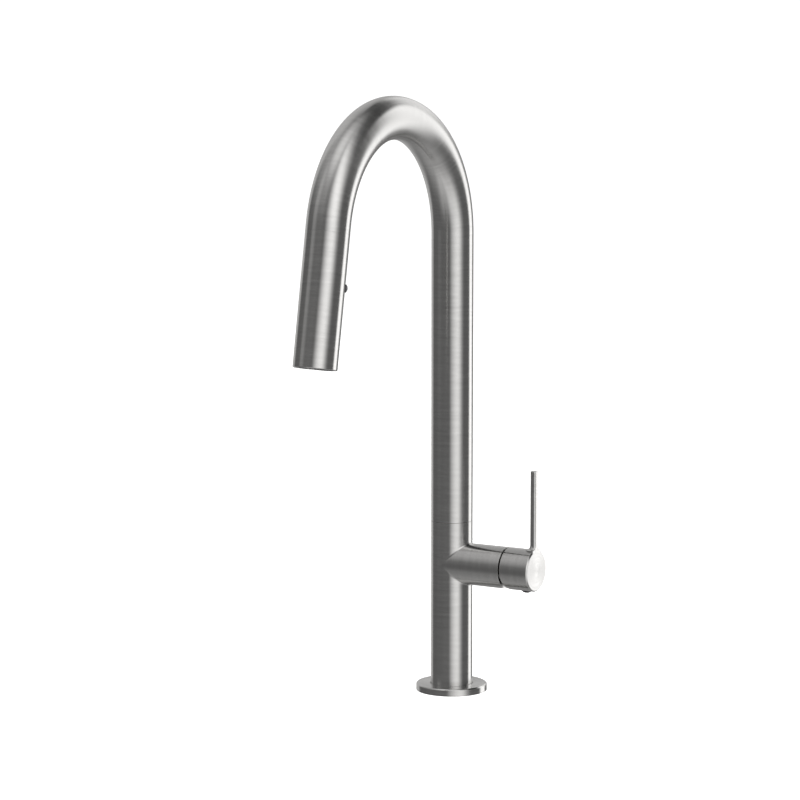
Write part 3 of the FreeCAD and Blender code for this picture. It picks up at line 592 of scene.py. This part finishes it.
def lever_mesh(centre_x, flat, foot, top, radius):
    """The upright lever: a round rod with one flat, flared at its foot and eased at its tip."""
    fillet, tip, around, ease = 0.0034, 0.0007, 144, 0.00012
    crown = LEVER_AXIS + TUBE
    heights = [foot, crown - 0.0006]
    heights += [crown + fillet * (1 - math.cos(math.pi / 2 * i / 8)) for i in range(9)]
    count = 24
    run = top - tip - crown - fillet
    heights += [crown + fillet + run * i / count for i in range(1, count + 1)]
    sizes = []
    for height in heights:
        reach = (crown + fillet - height) / fillet
        flare = fillet * (1 - math.sqrt(max(0.0, 1 - min(1.0, max(0.0, reach)) ** 2)))
        sizes.append((height, radius + flare))
    for i in range(1, 4):
        angle = math.pi / 2 * i / 3
        sizes.append((top - tip * (1 - math.sin(angle)), radius - tip * (1 - math.cos(angle))))
    bm = bmesh.new()
    uv_layer = bm.loops.layers.uv.new("UVMap")
    rings = []
    for height, size in sizes:
        limit = flat - max(0.0, height - (top - tip)) * 0.8
        ring = []
        for step in range(around):
            angle = math.tau * step / around
            x, y = size * math.cos(angle), size * math.sin(angle)
            x = (x + limit - math.hypot(x - limit, 2 * ease)) / 2
            ring.append(bm.verts.new((centre_x + x, y, height)))
        rings.append((ring, height))
    for (lower, z_low), (upper, z_high) in zip(rings, rings[1:]):
        for step in range(around):
            after = (step + 1) % around
            face = bm.faces.new((lower[step], lower[after], upper[after], upper[step]))
            values = ((z_low, step), (z_low, step + 1), (z_high, step + 1), (z_high, step))
            for loop, (u, turn) in zip(face.loops, values):
                loop[uv_layer].uv = (u, turn / around)
    bm.faces.new(list(reversed(rings[0][0])))
    bm.faces.new(rings[-1][0])
    bmesh.ops.recalc_face_normals(bm, faces=bm.faces)
    return bm


def make_handle():
    """The hub and its lever as one piece, relieved behind so that it can tip outwards."""
    start, end = HANDLE_LOW[0], HANDLE_HIGH[0]
    length = end - start
    chamfer, edge = 0.0009, 0.0003
    bore, bore_depth, socket_depth = 0.013, 0.008, 0.017
    axis = line_path((start, 0, LEVER_AXIS), (1, 0, 0))
    rows = [(edge + (length - chamfer - 2 * edge) * i / 12, TUBE) for i in range(1, 12)]
    profile = [(0, bore), *reversed(soft_corner(0, TUBE, -1, 1, edge)), *rows,
               *eased_chamfer(length, TUBE, chamfer),
               (length, TUBE * 0.6), (length, TUBE * 0.25), (length, 0)]
    profile = [(socket_depth, 0), (socket_depth, 0.0052), (bore_depth, 0.0052),
               (bore_depth, bore), *profile]
    hub = raw_object("handle_skin", sleeve(axis, profile, closed=False))
    rod, flat, foot = 0.003, 0.0023, LEVER_AXIS + 0.013
    carve(hub, lever_mesh(end - flat, flat, foot, HANDLE_HIGH[2], rod), "UNION")
    relief_top, relief_low, depth = 0.0036, 0.0128, 0.00195
    notch_low, notch, below = 0.0162, 0.0048, 0.018
    carve(hub, prism([
        (start - 0.001, LEVER_AXIS - relief_top), (start, LEVER_AXIS - relief_top),
        (start + depth, LEVER_AXIS - relief_low), (start + notch, LEVER_AXIS - notch_low),
        (start + notch, LEVER_AXIS - below), (start - 0.001, LEVER_AXIS - below),
    ], -0.02, 0.02))
    plug = Vector((sum(corner[0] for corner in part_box("screw_plug")) / 2, 0, LEVER_AXIS - 0.0185))
    carve(hub, drill(plug, (0, 0, 1), 0.00405, 0.006, 64))
    finish_piece(hub, STEEL, "lever", ["handle"], 28.0)


def make_spray_shell():
    """The spray head's outer tube, with a rounded mouth and a hole for the mode button."""
    rim, wall = 0.0007, 0.0012
    inner = TUBE - wall
    lip, lip_depth = 0.0112, 0.002
    profile = list(reversed(soft_corner(0, TUBE, -1, 1, rim, 6)))
    count = 60
    profile += [(rim + (SHELL_TOP - rim - SOFT_EDGE) * i / count, TUBE) for i in range(1, count)]
    profile += soft_corner(SHELL_TOP, TUBE, 1, 1, 0.00005)
    profile += [(SHELL_TOP, lip), (SHELL_TOP - lip_depth, lip), (SHELL_TOP - lip_depth, inner),
                (0.04, inner), (0.0003, inner), (0.0, inner + 0.0002)]
    axis = line_path(OUTLET, -PULL)
    shell = raw_object("spray_skin", sleeve(axis, profile))
    carve(shell, drill(BUTTON_CENTRE + BUTTON_OUT * 0.0105, BUTTON_OUT, 0.00335, 0.009, 48))
    finish_piece(shell, STEEL, "spray_head", ["spray_shell"], 30.0)


def make_button_spring():
    """The coil behind the diverter spool, drawn as a fixed coil that rides with the spray head; in
    the real head it shortens when the button is pressed.
    """
    wire, coil, turns, length, seat = 0.0003, 0.002, 5, 0.0042, -0.0117
    side = BUTTON_OUT.cross(PULL).normalized()
    up = BUTTON_OUT.cross(side)
    steps, around = 28 * turns, 8
    bm = bmesh.new()
    bm.loops.layers.uv.new("UVMap")
    rings = []
    for step in range(steps + 1):
        angle = math.tau * turns * step / steps
        outward = side * math.cos(angle) + up * math.sin(angle)
        centre = BUTTON_CENTRE + BUTTON_OUT * (seat + length * step / steps) + outward * coil
        rings.append([bm.verts.new(centre + (outward * math.cos(math.tau * i / around)
                                             + BUTTON_OUT * math.sin(math.tau * i / around)) * wire)
                      for i in range(around)])
    for first, second in zip(rings, rings[1:]):
        for i in range(around):
            j = (i + 1) % around
            bm.faces.new((first[i], first[j], second[j], second[i]))
    bm.faces.new(rings[0])
    bm.faces.new(list(reversed(rings[-1])))
    bmesh.ops.recalc_face_normals(bm, faces=bm.faces)
    spring = new_piece("spring_coil", bm, SLOT_MATERIALS["steel"], "spray_head",
                       ["button_spring"])
    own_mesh(spring)


def make_hose():
    """The spray hose in two lengths: one that stays in the spout and one that pays out."""
    bottom = HOSE_LOW[2]
    path, rise, bend = arch_path(bottom)
    inner = HOSE * 0.61
    dock = rise + bend
    riser = tube_profile(0.0, dock, HOSE, inner, 0.0003, 0.004)
    new_piece("hose_in_spout", sleeve(path, riser, around=48), HOSE_COVER, "spout",
              ["spray_hose"])
    end = OUTLET_RUN - 0.084
    straight = line_path(BEND_END, PULL)
    rows = 90
    profile = [(end * i / rows, HOSE) for i in range(rows + 1)]
    profile += [(end, inner), (0, inner)]
    payed_out = raw_object("hose_pays_out", sleeve(straight, profile, around=48))
    payed_out.data.materials.append(HOSE_COVER)
    payed_out.data.shade_smooth()
    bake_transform(payed_out)
    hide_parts("spray_hose")


# --- studio -----------------------------------------------------------------------------------

CAMERA_DISTANCE = 2.1539
CAMERA_HEIGHT = 0.4908
CAMERA_AZIMUTH = math.radians(29.8)
CAMERA_TILT = math.radians(7.04)
CAMERA_LENS = 128.0
COLUMN_OFFSET = math.radians(1.05743)    # the column stands right of the middle


def make_camera():
    data = bpy.data.cameras.new("camera")
    data.lens = CAMERA_LENS
    data.sensor_width = 36.0
    camera = bpy.data.objects.new("camera", data)
    bpy.context.collection.objects.link(camera)
    camera.location = (CAMERA_DISTANCE * math.sin(CAMERA_AZIMUTH),
                       -CAMERA_DISTANCE * math.cos(CAMERA_AZIMUTH), CAMERA_HEIGHT)
    heading = CAMERA_AZIMUTH + COLUMN_OFFSET
    forward = Vector((-math.sin(heading) * math.cos(CAMERA_TILT),
                      math.cos(heading) * math.cos(CAMERA_TILT), -math.sin(CAMERA_TILT)))
    right = forward.cross(Vector((0, 0, 1))).normalized()
    up = right.cross(forward)
    turn = Matrix((right, up, -forward)).transposed()
    camera.rotation_euler = turn.to_euler()
    data.clip_start, data.clip_end = 0.05, 100.0
    bpy.context.scene.camera = camera


# The studio as the steel mirrors it: soft panels, each with a span round the room, a span in
# height and a brightness. Angles are in degrees; those round the room are counted from the
# direction of the camera towards its right, or for "behind" from the direction opposite to it.
# Each span is where the panel starts, where it is full, where it starts to end and its end.
PANELS = [
    ("tall window in front", "ahead", (-19, 28, 31, 70), (-80, -12, 62, 90), 0.74),
    ("its bright left half", "ahead", (-18, 0, 30, 56), (-80, -12, 62, 90), 0.25),
    ("top of that window", "ahead", (-8, 20, 42, 78), (-4, 24, 50, 80), 0.36),
    ("white wall on the right", "ahead", (102, 115, 133, 142), (-56, -8, 32, 43), 1.50),
    ("far wall, upper right", "behind", (-44, -36, -12, 4), (2, 18, 33, 46), 1.00),
    ("far wall, lower right", "behind", (-44, -36, -12, 4), (-56, -26, 2, 18), 0.10),
    ("far wall, left half", "behind", (-8, 6, 44, 58), (-50, -14, 44, 74), 0.44),
    ("narrow strip on the left", "ahead", (-92, -81, -75, -56), (-6, 8, 40, 60), 0.18),
    ("upper wall on the left", "ahead", (-175, -110, -40, 5), (8, 52, 70, 90), 0.40),
    ("pale floor in front", "ahead", (-78, -36, 2, 30), (-90, -62, -38, -14), 0.30),
]
DIM_ROOM = 0.15                          # the rest of the walls
DARK_CORNERS = 0.10                      # taken off it high up
FLOOR_GLOW = 0.42                        # the studio floor, seen straight below
# The large panel overhead: its direction round and up, where it fades out, full, brightness.
OVERHEAD = (-44, 73, 47, 0, 1.10)


def make_world():
    """A soft studio, dim in front, with tall panels round the object and a large one overhead."""
    world = bpy.data.worlds.new("studio")
    bpy.context.scene.world = world
    world.use_nodes = True
    tree = world.node_tree
    tree.nodes.clear()
    nodes = Nodes(tree)
    ray = nodes.add("ShaderNodeTexCoord").outputs["Generated"]
    back = Vector((math.sin(CAMERA_AZIMUTH), -math.cos(CAMERA_AZIMUTH), 0))
    right = Vector((math.cos(CAMERA_AZIMUTH), math.sin(CAMERA_AZIMUTH), 0))

    def along(direction):
        node = nodes.add("ShaderNodeVectorMath", {0: ray, 1: tuple(direction)},
                         operation="DOT_PRODUCT")
        return node.outputs["Value"]

    def degrees(radians):
        return nodes.math("DEGREES", radians)

    def smooth(value, start, end):
        node = nodes.add("ShaderNodeMapRange", {"Value": value, "From Min": start, "From Max": end},
                         interpolation_type="SMOOTHSTEP")
        return node.outputs["Result"]

    def span(value, limits):
        return nodes.math("MULTIPLY", smooth(value, limits[0], limits[1]),
                          smooth(value, limits[3], limits[2]))

    turn = {"ahead": degrees(nodes.math("ARCTAN2", along(right), along(back))),
            "behind": degrees(nodes.math("ARCTAN2", along(-right), along(-back)))}
    height = degrees(nodes.math("ARCSINE", along((0, 0, 1))))
    glow = nodes.math("MULTIPLY", smooth(height, -25, -75), FLOOR_GLOW - DIM_ROOM)
    corners = nodes.math("MULTIPLY", smooth(height, 22, 48), DARK_CORNERS)
    light = nodes.math("SUBTRACT", nodes.math("ADD", glow, DIM_ROOM), corners)
    for _, side, around, heights, brightness in PANELS:
        panel = nodes.math("MULTIPLY", span(turn[side], around), span(height, heights))
        light = nodes.math("ADD", light, nodes.math("MULTIPLY", panel, brightness))
    around, up, fade, full, brightness = OVERHEAD
    around, up = math.radians(around), math.radians(up)
    aim = (back * math.cos(around) + right * math.sin(around)) * math.cos(up)
    aim.z = math.sin(up)
    away = degrees(nodes.math("ARCCOSINE", along(aim)))
    overhead = nodes.math("MULTIPLY", smooth(away, fade, full), brightness)
    light = nodes.math("MAXIMUM", light, overhead)
    room = nodes.add("ShaderNodeBackground", {"Color": (1, 0.995, 0.99, 1), "Strength": light})
    plain = nodes.add("ShaderNodeBackground", {"Color": (1, 1, 1, 1), "Strength": 1.1})
    seen = nodes.add("ShaderNodeLightPath").outputs["Is Camera Ray"]
    mix = nodes.add("ShaderNodeMixShader", {0: seen, 1: room.outputs[0], 2: plain.outputs[0]})
    nodes.add("ShaderNodeOutputWorld", {"Surface": mix.outputs[0]})


def make_floor():
    """A plain pale floor at the deck's height."""
    half = 30.0
    mesh = bpy.data.meshes.new("floor")
    mesh.from_pydata([(-half, -half, 0), (half, -half, 0), (half, half, 0), (-half, half, 0)],
                     [], [(0, 1, 2, 3)])
    floor = bpy.data.objects.new("floor", mesh)
    bpy.context.collection.objects.link(floor)
    material, nodes, shader = new_material("pale_floor")
    place = nodes.add("ShaderNodeTexCoord").outputs["Object"]
    grain = nodes.noise(place, 3.0, 2.0)
    feed(nodes, shader, Base_Color=nodes.ramp(grain, [(0.3, 0.88), (0.7, 0.9)]), Roughness=0.9)
    shader.inputs["Specular IOR Level"].default_value = 0.0
    shader.inputs["Emission Color"].default_value = (1, 1, 1, 1)
    shader.inputs["Emission Strength"].default_value = 0.62
    floor.data.materials.append(material)
    floor.visible_glossy = False


def make_lights():
    """Two large soft lamps that light the pale floor and the dull pieces from above."""
    for name, place, size, power in (("key_light", (1.2, -1.6, 2.4), 2.0, 60.0),
                                     ("fill_light", (-1.6, 0.6, 2.2), 2.0, 35.0)):
        data = bpy.data.lights.new(name, "AREA")
        data.size = size
        data.energy = power
        lamp = bpy.data.objects.new(name, data)
        bpy.context.collection.objects.link(lamp)
        lamp.location = place
        aim = Vector((0, -0.05, 0.2)) - Vector(place)
        lamp.rotation_euler = aim.to_track_quat("-Z", "Y").to_euler()
        lamp.visible_glossy = False
        lamp.visible_camera = False


def dress_cad_nodes():
    """Give every CAD node that stays in view or inside the material of its slot."""
    slot_of = {row["node"]: row["material_slot"] for row in frame["record"]["subparts"]}
    for name, node in frame["nodes"].items():
        material = SLOT_MATERIALS[slot_of[name]]
        node.data.materials.clear()
        node.data.materials.append(material)


def set_colours():
    view = bpy.context.scene.view_settings
    view.view_transform = "Standard"
    view.look = "None"
    view.exposure = 0.0


make_camera()
set_colours()
make_world()
make_floor()
make_lights()
dress_cad_nodes()
make_spout()
make_body()
make_flange()
make_handle()
make_spray_shell()
make_button_spring()
make_hose()

bpy.context.view_layer.update()
